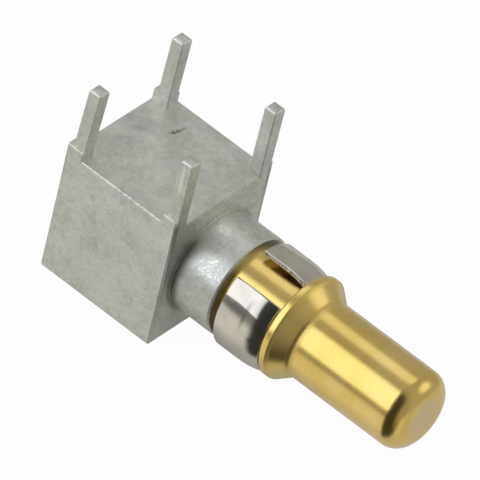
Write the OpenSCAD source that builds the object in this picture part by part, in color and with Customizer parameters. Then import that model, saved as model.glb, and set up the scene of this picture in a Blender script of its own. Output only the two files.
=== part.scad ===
// Right-angle board power contact: a cast block on four solder legs, a turned
// gold contact pin pressed into the block's boss, and a split retention clip
// that turns freely on the contact's neck.
// Millimetres. The underside of the block rests on Z = 0, the pin points
// along +X and the solder legs point up, along +Z.

/* [Terminal block] */
// Length of the block along the pin
block_len = 5.9; // [5.9:0.1:9]
// Width of the block across the pin
block_w = 5.9; // [5.9:0.1:9]
// Height of the block from its underside to the floor between the feet
block_h = 6.35; // [6:0.05:9]
// Rounding of the block's edges
block_edge_r = 0.12; // [0.05:0.01:0.3]
// Height of the pin's axis above the underside
axis_h = 3.15; // [2.9:0.05:3.3]

/* [Boss] */
// Diameter of the round boss on the front face
boss_d = 4.7; // [4.4:0.05:5.2]
// Length of the boss in front of the block
boss_len = 2.1; // [1:0.05:4]
// Rounding of the boss's front edge
boss_edge_r = 0.1; // [0.05:0.01:0.3]
// Fillet between the boss and the block
boss_fillet_r = 0.25; // [0.1:0.01:0.4]

/* [Solder legs] */
// Spacing of the legs, the same both ways
leg_pitch = 5.08; // [4:0.01:5.2]
// Thickness of each square leg
leg_w = 0.6; // [0.4:0.01:0.7]
// Length of the legs above the floor of the block
leg_len = 3.45; // [1.5:0.01:6]
// Rounding of the legs' long edges
leg_edge_r = 0.1; // [0.02:0.01:0.12]
// Chamfer round each leg's tip, across the leg
leg_tip_across = 0.05; // [0.04:0.01:0.18]
// Chamfer round each leg's tip, along the leg
leg_tip_along = 0.06; // [0.05:0.01:0.4]
// Height of the corner feet that the legs stand on
foot_h = 0.45; // [0.2:0.01:1]
// How far the front feet reach back behind their legs
foot_heel = 0.1; // [0.05:0.01:0.5]

/* [Contact tail] */
// Diameter of the tail, a press fit in the block's bore
tail_d = 3; // [2:0.05:3.4]
// Length of the tail behind the neck
tail_len = 6.2; // [3:0.1:7]
// Space left between the tail's end and the bottom of the bore
bore_end_gap = 0.3; // [0.1:0.05:0.6]

/* [Contact pin] */
// Diameter of the neck that carries the clip
neck_d = 3.8; // [3.6:0.05:4]
// Diameter of the collar in front of the clip
collar_d = 4.78; // [4.6:0.01:5.2]
// Length of the collar before its cone
collar_len = 0.43; // [0.35:0.01:1]
// Rounding of the collar's edges
collar_edge_r = 0.12; // [0.05:0.01:0.16]
// Length of the cone from the collar down to the pin
cone_len = 0.65; // [0.3:0.01:1.5]
// Diameter of the contact pin
pin_d = 3.6; // [3:0.05:3.6]
// Length of the contact pin in front of the cone
pin_len = 5.73; // [3:0.01:9]
// Rounding of the pin's nose
nose_r = 0.87; // [0.3:0.01:1.2]

/* [Retention clip] */
// Thickness of the clip's sheet
clip_t = 0.2; // [0.15:0.01:0.22]
// Radial clearance between the neck and the clip's straight part
clip_clear_rear = 0.35; // [0.3:0.01:0.4]
// Radial clearance between the neck and the clip's curved-in front end
clip_clear_front = 0.15; // [0.13:0.01:0.2]
// How far the loose clip hangs below the pin's axis
clip_drop = 0.1; // [0:0.01:0.11]
// Length of the clip
clip_len = 2.24; // [1.6:0.01:3]
// Length of the clip's front that curves in towards the collar
clip_curve_len = 1.1; // [0.6:0.01:1.4]
// Width of the clip's slot, as an angle
slot_angle = 43; // [20:1:90]
// Middle of the clip's slot, turned from +Y towards +Z
slot_turn = 109; // [0:1:359]
// Clearance between the boss and the clip
clip_gap_rear = 0.38; // [0.1:0.01:0.8]
// Clearance between the clip and the collar
clip_gap_front = 0.08; // [0.05:0.01:0.3]

/* [Hidden] */

// The block's front face, and the stations along the pin in front of it
face_x = block_len / 2;
neck_x = face_x + boss_len;
clip_x = neck_x + clip_gap_rear;
collar_x = clip_x + clip_len + clip_gap_front;
cone_x = collar_x + collar_len;
pin_x = cone_x + cone_len;
nose_x = pin_x + pin_len;

// The front legs are flush with the block's front face
leg_front_x = face_x - leg_w / 2;
leg_rear_x = leg_front_x - leg_pitch;
leg_side_y = leg_pitch / 2;

// How far cutting and joining shapes reach past the faces they pass through
reach = 1;
// Segments of the rounded edges and of the turned surfaces
edge_fn = 32;
turned_fn = 96;

// Rectangle with round corners, centred on the origin
module rounded_rectangle(width, height, r) {
    square([width - 2 * r, height], center = true);
    square([width, height - 2 * r], center = true);
    for (x = [-1, 1], y = [-1, 1])
        translate([x * (width / 2 - r), y * (height / 2 - r)])
            circle(r = r, $fn = edge_fn);
}

// Box standing on Z = 0 with all its edges rounded
module rounded_box(length, width, height, r) {
    intersection() {
        translate([0, 0, -reach])
            linear_extrude(height + 2 * reach)
                rounded_rectangle(length, width, r);
        translate([0, width / 2 + reach, height / 2])
            rotate([90, 0, 0])
                linear_extrude(width + 2 * reach)
                    rounded_rectangle(length, height, r);
        translate([-length / 2 - reach, 0, height / 2])
            rotate([90, 0, 90])
                linear_extrude(length + 2 * reach)
                    rounded_rectangle(width, height, r);
    }
}

// Turns a profile, drawn with its axis along +Y, about the pin's axis
module turned_on_pin_axis(angle = 360) {
    translate([0, 0, axis_h])
        rotate([0, 90, 0])
            rotate_extrude(angle = angle, $fn = turned_fn)
                children();
}

// Outline of one leg seen from the side, with its chamfered tip
module leg_outline(height) {
    polygon([
        [-leg_w / 2, 0],
        [leg_w / 2, 0],
        [leg_w / 2, height - leg_tip_along],
        [leg_w / 2 - leg_tip_across, height],
        [-leg_w / 2 + leg_tip_across, height],
        [-leg_w / 2, height - leg_tip_along]
    ]);
}

// Square leg standing on Z = 0 with rounded edges and a chamfered tip
module solder_leg(height) {
    intersection() {
        linear_extrude(height + reach)
            rounded_rectangle(leg_w, leg_w, leg_edge_r);
        translate([0, leg_w, 0])
            rotate([90, 0, 0])
                linear_extrude(2 * leg_w)
                    leg_outline(height);
        translate([-leg_w, 0, 0])
            rotate([90, 0, 90])
                linear_extrude(2 * leg_w)
                    leg_outline(height);
    }
}

// Corner feet: the top of a taller block, cut away inside the legs' inner
// faces and, at the front, a heel's length further back
module corner_feet() {
    inner_x = [leg_rear_x + leg_w / 2, leg_front_x - leg_w / 2 - foot_heel];
    inner_y = leg_side_y - leg_w / 2;
    difference() {
        rounded_box(block_len, block_w, block_h + foot_h, block_edge_r);
        translate([-block_len, -block_w, -reach])
            cube([2 * block_len, 2 * block_w, block_h - block_edge_r + reach]);
        translate([inner_x[0], -block_w, 0])
            cube([inner_x[1] - inner_x[0], 2 * block_w, block_h + foot_h + reach]);
        translate([-block_len, -inner_y, 0])
            cube([2 * block_len, 2 * inner_y, block_h + foot_h + reach]);
    }
}

// Boss with a rounded front edge and a fillet at its foot
module boss() {
    boss_r = boss_d / 2;
    turned_on_pin_axis() {
        translate([0, face_x - reach])
            square([boss_r, boss_len - boss_edge_r + reach]);
        translate([0, face_x])
            square([boss_r - boss_edge_r, boss_len]);
        translate([boss_r - boss_edge_r, neck_x - boss_edge_r])
            circle(r = boss_edge_r, $fn = edge_fn);
        difference() {
            translate([boss_r - boss_fillet_r, face_x - boss_edge_r])
                square([2 * boss_fillet_r, boss_fillet_r + boss_edge_r]);
            translate([boss_r + boss_fillet_r, face_x + boss_fillet_r])
                circle(r = boss_fillet_r, $fn = edge_fn);
        }
    }
}

module terminal_block() {
    leg_root = block_h - block_edge_r;
    color("#a9aaa2") difference() {
        union() {
            rounded_box(block_len, block_w, block_h, block_edge_r);
            corner_feet();
            boss();
            for (x = [leg_rear_x, leg_front_x], y = [-leg_side_y, leg_side_y])
                translate([x, y, leg_root])
                    solder_leg(leg_len + block_edge_r);
        }
        turned_on_pin_axis()
            translate([0, neck_x - tail_len - bore_end_gap])
                square([tail_d / 2, tail_len + bore_end_gap + reach]);
    }
}

// Half section of the turned contact, its axis along +Y
module contact_section() {
    collar_r = collar_d / 2;
    pin_r = pin_d / 2;
    translate([0, neck_x - tail_len])
        square([tail_d / 2, tail_len + reach]);
    translate([0, neck_x])
        square([neck_d / 2, collar_x - neck_x + collar_edge_r]);
    // Collar with two rounded edges, then the cone down to the pin
    translate([0, collar_x])
        square([collar_r - collar_edge_r, collar_len]);
    translate([0, collar_x + collar_edge_r])
        square([collar_r, collar_len - 2 * collar_edge_r]);
    for (y = [collar_x + collar_edge_r, cone_x - collar_edge_r])
        translate([collar_r - collar_edge_r, y])
            circle(r = collar_edge_r, $fn = edge_fn);
    polygon([
        [0, cone_x - collar_edge_r],
        [collar_r - collar_edge_r / 2, cone_x - collar_edge_r],
        [pin_r, pin_x],
        [0, pin_x]
    ]);
    // Pin with a rounded nose that ends in a flat
    translate([0, cone_x])
        square([pin_r, cone_len + pin_len - nose_r]);
    translate([0, cone_x])
        square([pin_r - nose_r, cone_len + pin_len]);
    translate([pin_r - nose_r, nose_x - nose_r])
        circle(r = nose_r, $fn = turned_fn);
}

module contact_pin() {
    color("#d9b65a")
        turned_on_pin_axis()
            contact_section();
}

// Half section of the clip's sheet: a straight part, then a front that curves
// in on one arc, tangent to the straight part, down to its front clearance
module clip_section() {
    inner_r = neck_d / 2 + clip_clear_rear;
    draw_in = clip_clear_rear - clip_clear_front;
    curve_r = (pow(clip_curve_len, 2) + pow(draw_in, 2)) / (2 * draw_in);
    curve_x = clip_x + clip_len - clip_curve_len;
    translate([inner_r, clip_x])
        square([clip_t, clip_len - clip_curve_len]);
    intersection() {
        translate([0, curve_x])
            square([inner_r + clip_t, clip_curve_len]);
        translate([inner_r - curve_r, curve_x])
            difference() {
                circle(r = curve_r + clip_t, $fn = turned_fn);
                circle(r = curve_r, $fn = turned_fn);
            }
    }
}

module retention_clip() {
    color("#8f8f8c")
        translate([0, 0, axis_h - clip_drop])
            rotate([slot_turn + slot_angle / 2, 0, 0])
                rotate([90, 0, 90])
                    rotate_extrude(angle = 360 - slot_angle, $fn = turned_fn)
                        clip_section();
}

terminal_block();
contact_pin();
retention_clip();
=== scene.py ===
import math

import bmesh
import bpy
from mathutils import Matrix, Quaternion, Vector


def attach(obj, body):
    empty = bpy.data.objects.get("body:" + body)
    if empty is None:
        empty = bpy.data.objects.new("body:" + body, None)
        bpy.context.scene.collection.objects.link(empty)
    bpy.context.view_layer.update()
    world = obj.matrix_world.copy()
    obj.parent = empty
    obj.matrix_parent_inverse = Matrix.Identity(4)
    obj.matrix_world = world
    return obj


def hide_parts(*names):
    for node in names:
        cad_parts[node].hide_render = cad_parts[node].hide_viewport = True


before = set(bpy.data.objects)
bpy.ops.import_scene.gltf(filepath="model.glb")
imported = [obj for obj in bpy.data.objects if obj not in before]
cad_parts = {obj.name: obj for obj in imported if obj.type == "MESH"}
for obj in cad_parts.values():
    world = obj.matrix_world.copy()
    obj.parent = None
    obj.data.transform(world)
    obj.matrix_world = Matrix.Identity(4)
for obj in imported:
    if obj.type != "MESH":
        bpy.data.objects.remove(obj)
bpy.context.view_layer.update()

# Terminal block
# The real one is a brass block with four solder legs and a round boss, all in
# one piece, barrel-plated with matte tin. It is modelled in millimetres and
# brought to metres when its shape is done.
BLOCK_LEN = 5.9
BLOCK_WIDE = 5.9
BLOCK_TALL = 6.35
BLOCK_ROUND = 0.16
BLOCK_SIDE_ROUND = 0.07
AXIS_TALL = 3.15
BOSS_R = 2.35
BOSS_START = 2.45
BOSS_END = 5.05
BOSS_FILLET = 0.06
BOSS_ROUND = 0.1
FOOT_TALL = 0.45
FOOT_REAR = -2.13
FOOT_FRONT = 2.25
FOOT_SIDE = 2.24
LEG_WIDE = 0.6
LEG_REAR = -2.73
LEG_FRONT = 2.35
LEG_TALL = 3.0
LEG_TIP_ROUND = 0.14
LEG_ROUND = 0.035
FOOT_ROUND = 0.03
LEG_BENDS = {
    (-1, -1): (0.056, 0.12),
    (-1, 1): (0.04, 0.055),
    (1, -1): (0.02, 0.03),
    (1, 1): (0.02, 0.03),
}
BORE_R = 1.5
BORE_START = -1.45
BOSS_STEPS = 144
BORE_STEPS = 96


def start_piece(name):
    """The primitive just added becomes a named piece, in edit mode with nothing selected."""
    piece = bpy.context.object
    piece.name = name
    piece.data.name = name
    bpy.ops.object.transform_apply(location=True, rotation=True, scale=True)
    bpy.ops.object.mode_set(mode="EDIT")
    bpy.ops.mesh.select_all(action="DESELECT")
    return piece


def pick(piece, kind, wanted):
    """Selects the vertices, edges or faces that the test wants, and no others."""
    bpy.ops.mesh.select_mode(type=kind)
    bpy.ops.mesh.select_all(action="DESELECT")
    mesh = bmesh.from_edit_mesh(piece.data)
    parts = {"VERT": mesh.verts, "EDGE": mesh.edges, "FACE": mesh.faces}[kind]
    for part in parts:
        if wanted(part):
            part.select_set(True)
    mesh.select_flush_mode()
    bmesh.update_edit_mesh(piece.data)


def middle(part):
    """The middle of an edge or face."""
    total = Vector((0, 0, 0))
    for vert in part.verts:
        total += vert.co
    return total / len(part.verts)


def apply_modifier(piece, kind, **settings):
    """Adds a modifier with these settings and applies it."""
    bpy.ops.object.mode_set(mode="OBJECT")
    bpy.ops.object.select_all(action="DESELECT")
    piece.select_set(True)
    bpy.context.view_layer.objects.active = piece
    modifier = piece.modifiers.new(kind.title(), kind)
    for name, value in settings.items():
        setattr(modifier, name, value)
    bpy.ops.object.modifier_apply(modifier=modifier.name)


def finish_shape(piece, smooth_angle):
    """Brings a piece from millimetres to metres and smooths its round faces."""
    bpy.ops.object.mode_set(mode="OBJECT")
    bpy.ops.object.select_all(action="DESELECT")
    piece.select_set(True)
    bpy.context.view_layer.objects.active = piece
    bpy.ops.object.mode_set(mode="EDIT")
    bpy.ops.mesh.select_all(action="SELECT")
    bpy.ops.transform.resize(value=(0.001, 0.001, 0.001), center_override=(0, 0, 0))
    bpy.ops.object.mode_set(mode="OBJECT")
    bpy.ops.object.shade_smooth_by_angle(angle=math.radians(smooth_angle))
    apply_modifier(piece, "WEIGHTED_NORMAL", keep_sharp=True, weight=80)


def round_corner(centre, radius, first, last, steps):
    """Stations (along, radius) of an arc in a turned outline, angles in degrees from +X."""
    for step in range(steps + 1):
        angle = math.radians(first + (last - first) * step / steps)
        yield centre[0] + radius * math.cos(angle), centre[1] + radius * math.sin(angle)


def turn_piece(name, outline, around):
    """Turns a solid about the pin's axis: a disc is extruded and resized along its outline."""
    bpy.ops.object.select_all(action="DESELECT")
    along, radius = outline[0]
    bpy.ops.mesh.primitive_circle_add(
        vertices=around,
        radius=radius,
        fill_type="NGON",
        location=(along, 0, AXIS_TALL),
        rotation=(0, math.pi / 2, 0),
    )
    piece = start_piece(name)
    bpy.ops.mesh.select_all(action="SELECT")
    for next_along, next_radius in outline[1:]:
        move = {"value": (next_along - along, 0, 0)}
        bpy.ops.mesh.extrude_region_move(TRANSFORM_OT_translate=move)
        grow = next_radius / radius
        centre = (next_along, 0, AXIS_TALL)
        bpy.ops.transform.resize(value=(1, grow, grow), center_override=centre)
        along, radius = next_along, next_radius
    bpy.ops.mesh.select_all(action="SELECT")
    bpy.ops.mesh.normals_make_consistent(inside=False)
    bpy.ops.object.mode_set(mode="OBJECT")
    return piece


def is_foot_top(face):
    """A corner of the block's top, outside the feet's inner faces."""
    at = middle(face)
    outside_x = at.x < FOOT_REAR or at.x > FOOT_FRONT
    return face.normal.z > 0.9 and outside_x and abs(at.y) > FOOT_SIDE


def is_leg_top(face):
    """The part of a foot's top that a leg stands on."""
    at = middle(face)
    rear = LEG_REAR < at.x < LEG_REAR + LEG_WIDE
    front = LEG_FRONT < at.x < LEG_FRONT + LEG_WIDE
    side = FOOT_SIDE < abs(at.y) < FOOT_SIDE + LEG_WIDE
    return face.normal.z > 0.9 and side and (rear or front)


def is_arris(edge):
    """A convex edge between two faces that don't lie in one plane."""
    return len(edge.link_faces) == 2 and edge.calc_face_angle_signed(0) > math.radians(20)


bpy.ops.object.select_all(action="DESELECT")
bpy.ops.mesh.primitive_cube_add(
    size=1,
    location=(0, 0, BLOCK_TALL / 2),
    scale=(BLOCK_LEN, BLOCK_WIDE, BLOCK_TALL),
)
block = start_piece("terminal_block_tinned")
for cut_x in (LEG_REAR, FOOT_REAR, FOOT_FRONT, LEG_FRONT):
    bpy.ops.mesh.select_all(action="SELECT")
    bpy.ops.mesh.bisect(plane_co=(cut_x, 0, 0), plane_no=(1, 0, 0), threshold=1e-5)
for cut_y in (FOOT_SIDE, FOOT_SIDE + LEG_WIDE):
    for side in (-1, 1):
        bpy.ops.mesh.select_all(action="SELECT")
        bpy.ops.mesh.bisect(plane_co=(0, side * cut_y, 0), plane_no=(0, 1, 0), threshold=1e-5)
pick(block, "FACE", is_foot_top)
bpy.ops.mesh.extrude_region_move(TRANSFORM_OT_translate={"value": (0, 0, FOOT_TALL)})
pick(block, "FACE", is_leg_top)
bpy.ops.mesh.extrude_region_move(TRANSFORM_OT_translate={"value": (0, 0, LEG_TALL)})
leg_tips = BLOCK_TALL + FOOT_TALL + LEG_TALL - 0.01
for (end, side), (bend_x, bend_y) in LEG_BENDS.items():
    pick(block, "VERT", lambda v: v.co.z > leg_tips and v.co.x * end > 0 and v.co.y * side > 0)
    bpy.ops.transform.translate(value=(bend_x, bend_y, 0))
bpy.ops.mesh.select_all(action="SELECT")
bpy.ops.mesh.dissolve_limited(angle_limit=math.radians(0.2))

# One bevel rounds all edges, each by its weight: the block's level ones most, then
# the legs' tips, the block's upright ones, the legs' sides and the feet
foot_top = BLOCK_TALL + FOOT_TALL
pick(block, "EDGE", lambda e: is_arris(e) and middle(e).z < BLOCK_TALL + 0.01)
bpy.ops.transform.edge_bevelweight(value=1)
pick(block, "EDGE", lambda e: is_arris(e) and 0.1 < middle(e).z < BLOCK_TALL - 0.1)
bpy.ops.transform.edge_bevelweight(value=BLOCK_SIDE_ROUND / BLOCK_ROUND - 1)
pick(block, "EDGE", lambda e: is_arris(e) and middle(e).z > BLOCK_TALL + 0.01)
bpy.ops.transform.edge_bevelweight(value=FOOT_ROUND / BLOCK_ROUND)
pick(block, "EDGE", lambda e: is_arris(e) and middle(e).z > foot_top + 0.01)
bpy.ops.transform.edge_bevelweight(value=(LEG_ROUND - FOOT_ROUND) / BLOCK_ROUND)
pick(block, "EDGE", lambda e: is_arris(e) and middle(e).z > leg_tips)
bpy.ops.transform.edge_bevelweight(value=(LEG_TIP_ROUND - LEG_ROUND) / BLOCK_ROUND)
apply_modifier(
    block,
    "BEVEL",
    limit_method="WEIGHT",
    width=BLOCK_ROUND,
    segments=4,
    use_clamp_overlap=False,
)

# The boss is turned with its fillet and joined on, then the bore is drilled
boss_outline = [(BOSS_START, BOSS_R + BOSS_FILLET)]
boss_fillet = (BLOCK_LEN / 2 + BOSS_FILLET, BOSS_R + BOSS_FILLET)
boss_outline.append((BLOCK_LEN / 2 + 0.001, BOSS_R + BOSS_FILLET))
boss_outline.extend(round_corner(boss_fillet, BOSS_FILLET, 184, 270, 10))
boss_edge = (BOSS_END - BOSS_ROUND, BOSS_R - BOSS_ROUND)
boss_outline.extend(round_corner(boss_edge, BOSS_ROUND, 90, 0, 6))
boss = turn_piece("boss_blank", boss_outline, BOSS_STEPS)
apply_modifier(block, "BOOLEAN", operation="UNION", object=boss, solver="EXACT")
bore_outline = [(BORE_START, BORE_R), (BOSS_END + 1, BORE_R)]
bore = turn_piece("bore_drill", bore_outline, BORE_STEPS)
apply_modifier(block, "BOOLEAN", operation="DIFFERENCE", object=bore, solver="EXACT")
for spent in (boss, bore):
    bpy.data.objects.remove(spent, do_unlink=True)
finish_shape(block, smooth_angle=30)


class Socket:
    """An output in a finish's nodes. A sum written on it adds its Math nodes."""

    def __init__(self, tree, output):
        self.tree = tree
        self.output = output

    def node(self, kind, settings=None, inputs=None, output=0):
        """Adds a node of any type: its settings first, then its inputs' values or links."""
        made = self.tree.nodes.new(kind)
        for name, value in (settings or {}).items():
            setattr(made, name, value)
        for name, value in (inputs or {}).items():
            if isinstance(value, Socket):
                self.tree.links.new(value.output, made.inputs[name])
            else:
                made.inputs[name].default_value = value
        return Socket(self.tree, made.outputs[output])

    def maths(self, operation, *values):
        """A Math node on these values."""
        return self.node("ShaderNodeMath", {"operation": operation}, dict(enumerate(values)))

    def __add__(self, other):
        return self.maths("ADD", self, other)

    def __sub__(self, other):
        return self.maths("SUBTRACT", self, other)

    def __rsub__(self, other):
        return self.maths("SUBTRACT", other, self)

    def __mul__(self, other):
        return self.maths("MULTIPLY", self, other)

    __radd__ = __add__
    __rmul__ = __mul__

    def greater(self, other):
        """The greater of the two."""
        return self.maths("MAXIMUM", self, other)

    def grain(self, size, detail=2.0, stretch=(1, 1, 1), seed=0.0):
        """Noise about 0.5 whose spots are about size millimetres across."""
        settings = {"vector_type": "POINT"}
        inputs = {
            "Vector": self,
            "Location": (seed, seed, seed),
            "Scale": [1000 / (size * s) for s in stretch],
        }
        place = self.node("ShaderNodeMapping", settings, inputs)
        inputs = {"Vector": place, "Scale": 1.0, "Detail": detail}
        return place.node("ShaderNodeTexNoise", {}, inputs)

    def step(self, low, high):
        """0 below low, 1 above high, and a smooth rise between."""
        settings = {"interpolation_type": "SMOOTHSTEP"}
        return self.node("ShaderNodeMapRange", settings, {0: self, 1: low, 2: high})

    def colours(self, low, high):
        """The low colour where this is 0, the high one where it is 1."""
        return self.node("ShaderNodeMix", {"data_type": "RGBA"}, {0: self, 6: low, 7: high}, 2)

    def away(self, centre, half, turn=0.0):
        """0 at the centre of an ellipsoid of these half lengths, in millimetres, and 1 on it."""
        settings = {"vector_type": "TEXTURE"}
        inputs = {
            "Vector": self,
            "Location": [c / 1000 for c in centre],
            "Rotation": (0, 0, math.radians(turn)),
            "Scale": [h / 1000 for h in half],
        }
        place = self.node("ShaderNodeMapping", settings, inputs)
        return place.node("ShaderNodeVectorMath", {"operation": "LENGTH"}, {0: place}, "Value")

    def spot(self, centre, half, turn=0.0, soft=0.4):
        """1 inside an ellipsoid, fading out over its surface."""
        return 1 - self.away(centre, half, turn).step(1 - soft, 1 + soft)

    def bump(self, height):
        """The surface's normal with this height on it, in millimetres."""
        inputs = {"Strength": 1.0, "Distance": 0.001, "Height": height}
        return self.node("ShaderNodeBump", {}, inputs)


def start_finish(name):
    """A new finish: its shader's node, and its place on the piece in metres."""
    finish = bpy.data.materials.new(name)
    finish.use_nodes = True
    tree = finish.node_tree
    shader = tree.nodes["Principled BSDF"]
    place = tree.nodes.new("ShaderNodeTexCoord")
    return finish, shader, Socket(tree, place.outputs["Object"])


def wire(shader, **links):
    """Links what changes over a surface to the shader, each to the socket of its name."""
    for name, value in links.items():
        socket = shader.inputs[name.replace("_", " ")]
        value.tree.links.new(value.output, socket)


# Matte tin: grey, a little green, softly mottled, with a fine tooth that breaks
# up what it reflects. Highlights are painted on the burnished arrises, shade is
# painted round the boss's foot and beside the upright arrises, and two patches
# of the boss are wet and specked.
TIN_DARK = (0.58, 0.60, 0.55, 1)
TIN_LIGHT = (0.88, 0.895, 0.83, 1)
# The darkest colour serves both real marks and painted shade
TIN_STAIN_AND_SHADE = (0.20, 0.205, 0.165, 1)
# The brightest colour is painted highlight
TIN_PAINTED_HIGHLIGHT = (0.95, 0.93, 0.85, 1)
BLOCK_RIM = (0.00284, 0.00292)
tin, tin_shader, tin_at = start_finish("matte_tin_plate")
tin_x, tin_y, tin_z = (
    tin_at.node("ShaderNodeSeparateXYZ", {}, {0: tin_at}, axis) for axis in range(3)
)
clouds = tin_at.grain(1.3, detail=4)
mottles = tin_at.grain(0.24, detail=3, seed=7)
tooth = tin_at.grain(0.085, detail=2, seed=3)
smudges = tin_at.grain(0.5, detail=4, seed=31).step(0.56, 0.70)
on_top = tin_z.step(0.0062, 0.0063)
tooth_tone = tooth * (0.38 - on_top * 0.16)
smudge_tone = smudges * (0.10 - on_top * 0.06)
tin_tone = clouds * 0.42 + mottles * 0.40 + tooth_tone - smudge_tone - 0.06 + on_top * 0.04
tin_plain = tin_tone.step(0.25, 0.75).colours(TIN_DARK, TIN_LIGHT)

# Painted highlights on the top arrises, the feet's and legs' rims and a streak on one leg, also
# burnished smoother
far_x = tin_x.maths("ABSOLUTE", tin_x)
far_y = tin_y.maths("ABSOLUTE", tin_y)
end_x = far_x.step(*BLOCK_RIM)
end_y = far_y.step(*BLOCK_RIM)
end_z = tin_z.step(0.00624, 0.00633) * (1 - far_x.step(0.00205, 0.00215))
foot_rim_highlight = tin_z.step(0.00668, 0.00676) * (1 - tin_z.step(0.00681, 0.00684))
leg_rim_highlight = tin_z.step(0.00966, 0.00972) * (1 - tin_z.step(0.00977, 0.00979))
beads = (mottles * 0.5 + tooth * 0.5).step(0.40, 0.54)
leg_highlight_streak = tin_at.spot((2.62, -2.95, 8.85), (0.07, 0.3, 0.8), soft=0.6)
# Painted highlight on these rims and the leg's streak; the same places are made smoother
burnish_and_highlight = end_y * (end_z + foot_rim_highlight) * beads + leg_rim_highlight * 0.4 + leg_highlight_streak
tin_highlighted = (burnish_and_highlight * 0.7).colours(tin_plain, TIN_PAINTED_HIGHLIGHT)

# Painted shade round the boss's foot, darkest on its lower side
pin_axis = (0, 0, AXIS_TALL / 1000)
across_pin = tin_at.node(
    "ShaderNodeVectorMath",
    {"operation": "MULTIPLY"},
    {0: tin_at, 1: (0, 1, 1)},
)
from_axis = tin_at.node(
    "ShaderNodeVectorMath",
    {"operation": "DISTANCE"},
    {0: across_pin, 1: pin_axis},
    "Value",
)
near_foot = tin_x.step(0.00285, 0.00294) * (1 - from_axis.step(0.00237, 0.00262))
low_side = 1 - tin_z.step(0.0044, 0.0060)
foot_painted_shade = near_foot * (1 - tin_x.step(0.00298, 0.00318)) * low_side * 0.5
foot_shadow = near_foot * (1 - tin_x.step(0.00300, 0.00345)) * (1 - tin_y.step(-0.0018, -0.0009))
stains_and_shade = foot_painted_shade.greater(foot_shadow * 0.66)
# Painted shade on the end faces beside the block's upright arrises, darker towards the top
arris_shade = end_x * far_y.step(0.00262, 0.00284) * (1 - tin_z.step(0.0064, 0.0068))
arris_shade = arris_shade * (0.08 + mottles.step(0.30, 0.60) * 0.14 + tin_z.step(0.0046, 0.0060) * 0.40)
stains_and_shade = stains_and_shade.greater(arris_shade)

# Marks on the block's top: a dark scratch and its smear and a faint spot, and a band of painted
# shade near a rear leg
ragged = tin_at.grain(0.11, detail=3, seed=17).step(0.38, 0.52)
scratch = tin_at.spot((-0.93, 1.58, 6.35), (0.42, 0.08, 0.3), turn=78, soft=0.5)
smear = tin_at.spot((-0.97, 1.40, 6.35), (0.24, 0.13, 0.3), turn=60, soft=0.6)
faint = tin_at.spot((-2.0, 0.5, 6.35), (0.25, 0.12, 0.3), turn=30, soft=0.7)
leg_shade_band = tin_at.spot((-2.17, -0.76, 6.35), (0.85, 0.28, 0.3), turn=53, soft=0.8)
marks = scratch * ragged * 0.55 + smear * 0.5 * ragged + faint * 0.22 + leg_shade_band * 0.12
stains_and_shade = stains_and_shade.greater(marks)
# Real marks and painted shade darken the tin alike
tin_colour = stains_and_shade.colours(tin_highlighted, TIN_STAIN_AND_SHADE)

wet = tin_at.spot((4.30, -1.80, 4.66), (0.80, 0.60, 0.60), soft=0.8)
small_wet = tin_at.spot((3.60, -0.39, 5.47), (0.40, 0.30, 0.30), soft=0.6) * 0.85
wet = wet.greater(small_wet)
specks = wet * tin_at.grain(0.10, detail=2, seed=21).step(0.43, 0.68)
tin_height = mottles * 0.004 + tooth * (0.003 + wet * 0.005)
tin_rough = 0.42 + mottles * 0.10 - wet * 0.08 - specks * 0.20 - burnish_and_highlight * 0.14
tin_shader.inputs["Metallic"].default_value = 1.0
wire(tin_shader, Base_Color=tin_colour, Roughness=tin_rough, Normal=tin_at.bump(tin_height))
block.data.materials.clear()
block.data.materials.append(tin)
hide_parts("terminal_block")
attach(block, "holder")

# Contact
# One turned brass pin with a collar, a cone and a smooth nose, gold-plated
# all over. Its thin tail is pressed into the boss's bore, and its neck, just
# behind the collar, carries the clip.
TAIL_START = -1.15
TAIL_BREAK = 0.15
NECK_R = 1.9
COLLAR_START = 7.75
COLLAR_END = 8.18
COLLAR_R = 2.39
COLLAR_ROUND = 0.12
CONE_END = 8.83
CONE_LEAN = 39.0
CONE_FILLET = 0.35
PIN_R = 1.8
PIN_END = 14.56
NOSE_ROUND = 0.87
CONTACT_STEPS = 160

contact_outline = [
    (TAIL_START, BORE_R - TAIL_BREAK),
    (TAIL_START + TAIL_BREAK, BORE_R),
    (BOSS_END, BORE_R),
    (BOSS_END, NECK_R),
    (COLLAR_START, NECK_R),
]
rear_edge = (COLLAR_START + COLLAR_ROUND, COLLAR_R - COLLAR_ROUND)
contact_outline.extend(round_corner(rear_edge, COLLAR_ROUND, 180, 90, 6))
front_edge = (COLLAR_END - COLLAR_ROUND, COLLAR_R - COLLAR_ROUND)
contact_outline.extend(round_corner(front_edge, COLLAR_ROUND, 90, 90 - CONE_LEAN, 5))
fillet_start = CONE_END + CONE_FILLET * math.tan(math.radians(CONE_LEAN / 2))
cone_fillet = (fillet_start, PIN_R + CONE_FILLET)
contact_outline.extend(round_corner(cone_fillet, CONE_FILLET, -90 - CONE_LEAN, -90, 6))
nose_round = (PIN_END - NOSE_ROUND, PIN_R - NOSE_ROUND)
contact_outline.extend(round_corner(nose_round, NOSE_ROUND, 90, 0, 20))
contact = turn_piece("contact_pin_gilded", contact_outline, CONTACT_STEPS)
finish_shape(contact, smooth_angle=30)

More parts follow.
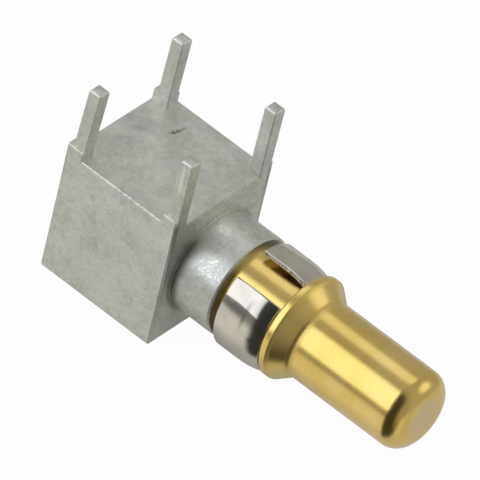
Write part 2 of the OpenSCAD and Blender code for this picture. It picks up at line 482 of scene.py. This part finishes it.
# Gold plate over turned brass: satin and slightly cloudy, with fine rings left
# by the turning tool, and greyer on the nose's flat end
GOLD_DEEP = (0.86, 0.61, 0.12, 1)
GOLD_PALE = (0.97, 0.735, 0.245, 1)
GOLD_FLAT_GREY = (0.72, 0.60, 0.34, 1)
gold, gold_shader, gold_at = start_finish("satin_gold_plate")
tool_rings = gold_at.grain(0.05, detail=3, stretch=(1, 60, 60), seed=2)
wide_rings = gold_at.grain(0.35, detail=2, stretch=(1, 40, 40), seed=5)
gold_cloud = gold_at.grain(1.4, detail=3, seed=9)
gold_dust = gold_at.grain(0.09, detail=2, seed=4)
gold_tone = gold_cloud * 0.6 + wide_rings * 0.3 + gold_dust * 0.25 - 0.08
gold_x = gold_at.node("ShaderNodeSeparateXYZ", {}, {0: gold_at}, 0)
gold_plain = gold_tone.step(0.25, 0.75).colours(GOLD_DEEP, GOLD_PALE)
tip_middle = gold_at.spot((14.56, 0.10, 3.25), (1.0, 0.85, 0.85), soft=0.5)
tip_greying = gold_x.step(0.01449, 0.01456) * tip_middle * (0.72 + gold_dust * 0.4)
gold_colour = (tip_greying * 0.65).colours(gold_plain, GOLD_FLAT_GREY)
collar_corner = gold_x.step(0.00800, 0.00808) * (1 - gold_x.step(0.00818, 0.00826))
cone_root = gold_x.step(0.00868, 0.00880) * (1 - gold_x.step(0.00900, 0.00912))
gold_rough = 0.19 + wide_rings * 0.05 + gold_dust * 0.03 + (collar_corner + cone_root) * 0.16
gold_height = tool_rings * 0.0009 + gold_dust * 0.0008
gold_shader.inputs["Metallic"].default_value = 1.0
gold_shader.inputs["Coat Weight"].default_value = 0.8
gold_shader.inputs["Coat Roughness"].default_value = 0.18
wire(gold_shader, Base_Color=gold_colour, Roughness=gold_rough, Normal=gold_at.bump(gold_height))
contact.data.materials.clear()
contact.data.materials.append(gold)
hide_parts("contact_pin")
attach(contact, "holder")

# Retention clip
# A split sleeve rolled from thin spring sheet, bright nickel-plated, with its
# front curved in. It sits loosely round the neck, turns there freely, and
# hangs a little below the pin's axis.
CLIP_SHEET = 0.2
CLIP_EDGE_ROUND = 0.03
CLIP_R = 2.25
CLIP_START = 5.43
CLIP_BEND = 6.57
CLIP_END = 7.67
CLIP_BEND_R = 3.125
CLIP_AXIS_TALL = 3.05
SLOT_WIDE = 37.0
SLOT_MIDDLE = 109.7
CLIP_STEPS = 132
CLIP_BEND_STEPS = 10

# The sheet's inner line is drawn on from one edge, spun round the neck but for
# the slot, and given its thickness outwards
clip_straight = CLIP_BEND - CLIP_START
bpy.ops.object.select_all(action="DESELECT")
bpy.ops.mesh.primitive_plane_add(
    size=1,
    location=(CLIP_START + clip_straight / 2, CLIP_R - 0.5, 0),
)
bpy.context.object.scale.x = clip_straight
clip = start_piece("retention_clip_nickel")
pick(clip, "VERT", lambda v: v.co.y < CLIP_R - 0.5)
bpy.ops.mesh.delete(type="VERT")
pick(clip, "VERT", lambda v: v.co.x > CLIP_BEND - 0.01)
bend_end = math.asin((CLIP_END - CLIP_BEND) / (CLIP_BEND_R + CLIP_SHEET))
was_along, was_in = 0, 0
for bend in range(1, CLIP_BEND_STEPS + 1):
    angle = bend_end * bend / CLIP_BEND_STEPS
    along = CLIP_BEND_R * math.sin(angle)
    inwards = CLIP_BEND_R * (1 - math.cos(angle))
    move = {"value": (along - was_along, was_in - inwards, 0)}
    bpy.ops.mesh.extrude_region_move(TRANSFORM_OT_translate=move)
    was_along, was_in = along, inwards
bpy.ops.mesh.select_all(action="SELECT")
bpy.ops.mesh.spin(
    steps=CLIP_STEPS,
    angle=math.radians(360 - SLOT_WIDE),
    center=(0, 0, 0),
    axis=(1, 0, 0),
)
bpy.ops.mesh.select_all(action="SELECT")
bpy.ops.mesh.remove_doubles(threshold=1e-4)
bpy.ops.mesh.normals_make_consistent(inside=False)
bpy.ops.object.mode_set(mode="OBJECT")
clip.rotation_euler.x = math.radians(SLOT_MIDDLE - SLOT_WIDE / 2)
clip.location.z = CLIP_AXIS_TALL
bpy.ops.object.transform_apply(location=True, rotation=True, scale=True)

# Two empty finishes hold the slots that the thickened sheet's faces and rim take
clip.data.materials.clear()
for finish_name in ("nickel_plate", "sheared_edge"):
    clip.data.materials.append(bpy.data.materials.new(finish_name))
apply_modifier(
    clip,
    "SOLIDIFY",
    thickness=CLIP_SHEET,
    offset=1,
    use_even_offset=True,
    material_offset_rim=1,
)
apply_modifier(
    clip,
    "BEVEL",
    limit_method="ANGLE",
    angle_limit=math.radians(50),
    width=CLIP_EDGE_ROUND,
    segments=2,
    use_clamp_overlap=True,
)
finish_shape(clip, smooth_angle=40)

# Bright nickel: a smooth, faintly warm grey mirror with soft rolling lines, and a painted dark
# reflection on one side with a thin one at the bend
NICKEL_DEEP = (0.66, 0.63, 0.555, 1)
NICKEL_PALE = (0.76, 0.725, 0.64, 1)
NICKEL_DARK_REFLECTION = (0.33, 0.32, 0.29, 1)
nickel, nickel_shader, nickel_at = start_finish("bright_nickel_plate")
roll_lines = nickel_at.grain(0.06, detail=2, stretch=(1, 25, 25), seed=6)
nickel_cloud = nickel_at.grain(0.8, detail=3, seed=8)
nickel_waves = nickel_at.grain(0.9, detail=1, seed=13)
nickel_colour = nickel_cloud.step(0.3, 0.7).colours(NICKEL_DEEP, NICKEL_PALE)
# A dark reflection is painted into the colour here, and made a little rougher
dark_reflection = nickel_at.spot((6.0, -2.193, 4.143), (0.75, 0.20, 0.20), soft=0.7)
bend_dark_reflection = nickel_at.spot((6.60, -2.22, 4.085), (0.09, 0.5, 0.5), soft=0.8)
dark_reflection = dark_reflection.greater(bend_dark_reflection)
nickel_colour = (dark_reflection * 0.85).colours(nickel_colour, NICKEL_DARK_REFLECTION)
nickel_rough = 0.07 + nickel_cloud * 0.06 + roll_lines * 0.04 + dark_reflection * 0.04
flat = nickel_at.away((5.95, -2.33, 3.807), (1.9, 0.6, 0.6))
flat = flat.maths("MINIMUM", flat, 1.0)
nickel_height = roll_lines * 0.0006 + nickel_waves * 0.006 + flat * flat * 0.034
nickel_shader.inputs["Metallic"].default_value = 1.0
wire(
    nickel_shader,
    Base_Color=nickel_colour,
    Roughness=nickel_rough,
    Normal=nickel_at.bump(nickel_height),
)

# The sheet's sheared edges are duller, with short tear marks across them
EDGE_DEEP = (0.34, 0.31, 0.29, 1)
EDGE_PALE = (0.92, 0.88, 0.85, 1)
sheared, sheared_shader, sheared_at = start_finish("sheared_nickel_edge")
tears = sheared_at.grain(0.07, detail=3, stretch=(1, 4, 4), seed=12)
sheared_colour = tears.step(0.38, 0.62).colours(EDGE_DEEP, EDGE_PALE)
sheared_rough = 0.36 + tears * 0.2
sheared_shader.inputs["Metallic"].default_value = 0.5
wire(
    sheared_shader,
    Base_Color=sheared_colour,
    Roughness=sheared_rough,
    Normal=sheared_at.bump(tears * 0.02),
)
clip.data.materials[0] = nickel
clip.data.materials[1] = sheared
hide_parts("retention_clip")
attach(clip, "clip")

# Studio
# A plain white sheet under the part, a large soft lamp at its side with a
# smaller one in it, another beyond the part, and a dimmer room. Mirrored rays
# pass mostly through the sheet and meet the room's own levels instead.
CAMERA_AZIMUTH = 32.3075
CAMERA_ELEVATION = 42.2402
CAMERA_ROLL = 13.7625
CAMERA_AIM = (0.00436095, -0.00032504, 0.00544446)
CAMERA_DISTANCE = 0.5032609
CAMERA_LENS = 946.879
CAMERA_SENSOR = 36.0
SHEET_WIDE = 3.0
SHEET_WHITE = 0.8
SHEET_GLOW = 0.97
SHEET_CLEAR = 0.35
PART_MIDDLE = (0.004, 0.005, 0)
SIDE_LAMP = {"towards": (-0.50, -0.70, 0.52), "wide": 0.14, "tall": 0.165, "power": 0.077}
SIDE_LAMP_CORE = {"towards": (-0.50, -0.70, 0.52), "wide": 0.12, "tall": 0.09, "power": 0.0102}
FAR_LAMP = {"towards": (-0.40, 0.31, 0.866), "wide": 0.16, "tall": 0.07, "power": 0.0170}
WINDOW = (0.614, 0.584, 0.531)
ROOM_TINT = (1, 0.98, 0.93, 1)
LAMP_AWAY = 0.15
LAMP_TINT = (0.97, 1.0, 1.08)

bpy.ops.object.select_all(action="DESELECT")
bpy.ops.mesh.primitive_plane_add(size=SHEET_WIDE, location=(0, 0, 0))
sheet = bpy.context.object
sheet.name = "white_sheet"
paper = bpy.data.materials.new("white_paper")
paper.use_nodes = True
paper.node_tree.nodes.clear()
ray = paper.node_tree.nodes.new("ShaderNodeLightPath")
is_camera = Socket(paper.node_tree, ray.outputs["Is Camera Ray"])
is_glossy = Socket(paper.node_tree, ray.outputs["Is Glossy Ray"])
is_shadow = Socket(paper.node_tree, ray.outputs["Is Shadow Ray"])
is_transmission = Socket(paper.node_tree, ray.outputs["Is Transmission Ray"])
sheet_colour = (SHEET_WHITE, SHEET_WHITE, SHEET_WHITE, 1)
lit = is_camera.node("ShaderNodeBsdfDiffuse", {}, {"Color": sheet_colour})
glow = is_camera.node("ShaderNodeEmission", {}, {"Color": (1, 1, 1, 1), "Strength": 1.0})
glowing = (is_camera + is_transmission) * SHEET_GLOW
white = is_camera.node("ShaderNodeMixShader", {}, {0: glowing, 1: lit, 2: glow})
clear = is_camera.node("ShaderNodeBsdfTransparent")
sheet_at = is_camera.node("ShaderNodeTexCoord", {}, {}, "Object")
from_part = sheet_at.node(
    "ShaderNodeVectorMath",
    {"operation": "DISTANCE"},
    {0: sheet_at, 1: PART_MIDDLE},
    "Value",
)
clear_share = SHEET_CLEAR + from_part.step(0.006, 0.010) * (1 - SHEET_CLEAR)
see_through = (is_glossy + is_shadow) * clear_share
seen = is_camera.node("ShaderNodeMixShader", {}, {0: see_through, 1: white, 2: clear})
sheet_out = paper.node_tree.nodes.new("ShaderNodeOutputMaterial")
paper.node_tree.links.new(seen.output, sheet_out.inputs["Surface"])
sheet.data.materials.append(paper)

aim = Vector(CAMERA_AIM)
azimuth = math.radians(CAMERA_AZIMUTH)
elevation = math.radians(CAMERA_ELEVATION)
to_lens = Vector((
    math.sin(azimuth) * math.cos(elevation),
    -math.cos(azimuth) * math.cos(elevation),
    math.sin(elevation),
))

# The room's light by direction: its walls, the sheet as metal sees it, a dark
# patch where the lens looks in, and a window. To the lens alone it is white
room = bpy.data.worlds.new("studio_room")
bpy.context.scene.world = room
room.use_nodes = True
room.node_tree.nodes.clear()
look = room.node_tree.nodes.new("ShaderNodeTexCoord")
heading = Socket(room.node_tree, look.outputs["Generated"])
is_camera = heading.node("ShaderNodeLightPath", {}, {}, "Is Camera Ray")
along, across, height = (
    heading.node("ShaderNodeSeparateXYZ", {}, {0: heading}, axis) for axis in range(3)
)
walls = 0.27 + across.step(-0.5, 0.0) * 0.12
sheet_seen = 0.53 + height.step(-0.98, -0.6) * (1 - across.step(-0.5, 0.2)) * 0.20
level = walls + (1 - height.step(-0.22, -0.08)) * (sheet_seen - walls)
shade = (1 - across.step(-0.5, -0.28)) * along.step(-0.24, -0.10)
shadow_level = 0.04 + along.step(0.50, 0.88) * 0.34
level = level + shade * (shadow_level - level)
to_window = heading.node(
    "ShaderNodeVectorMath",
    {"operation": "DOT_PRODUCT"},
    {0: heading, 1: WINDOW},
    "Value",
)
level = level + to_window.step(0.92, 0.99) * 0.6
strength = level.greater(is_camera)
tint = is_camera.colours(ROOM_TINT, (1, 1, 1, 1))
sky = heading.node("ShaderNodeBackground", {}, {"Color": tint, "Strength": strength})
room_out = room.node_tree.nodes.new("ShaderNodeOutputWorld")
room.node_tree.links.new(sky.output, room_out.inputs["Surface"])


def soft_lamp(name, towards, wide, tall, power):
    """A rectangular soft lamp that faces the part."""
    side = Vector(towards).normalized()
    bpy.ops.object.select_all(action="DESELECT")
    bpy.ops.object.light_add(type="AREA", location=aim + side * LAMP_AWAY)
    lamp = bpy.context.object
    lamp.name = name
    lamp.data.shape = "RECTANGLE"
    lamp.data.size = wide
    lamp.data.size_y = tall
    lamp.data.energy = power
    lamp.data.color = LAMP_TINT
    across = (Vector((1, 0, 0)) - side * side.x).normalized()
    lamp.rotation_euler = Matrix((across, side.cross(across), side)).transposed().to_euler()
    return lamp


soft_lamp("side_lamp", **SIDE_LAMP)
soft_lamp("side_lamp_core", **SIDE_LAMP_CORE)
soft_lamp("far_lamp", **FAR_LAMP)

bpy.ops.object.camera_add(location=aim + to_lens * CAMERA_DISTANCE)
camera = bpy.context.object
camera.name = "camera"
camera.rotation_mode = "QUATERNION"
level_view = (-to_lens).to_track_quat("-Z", "Y")
camera.rotation_quaternion = level_view @ Quaternion((0, 0, 1), math.radians(CAMERA_ROLL))
camera.data.sensor_width = CAMERA_SENSOR
camera.data.lens = CAMERA_LENS
camera.data.clip_start = 0.01
camera.data.clip_end = 10
bpy.context.scene.camera = camera
bpy.context.scene.view_settings.view_transform = "Standard"
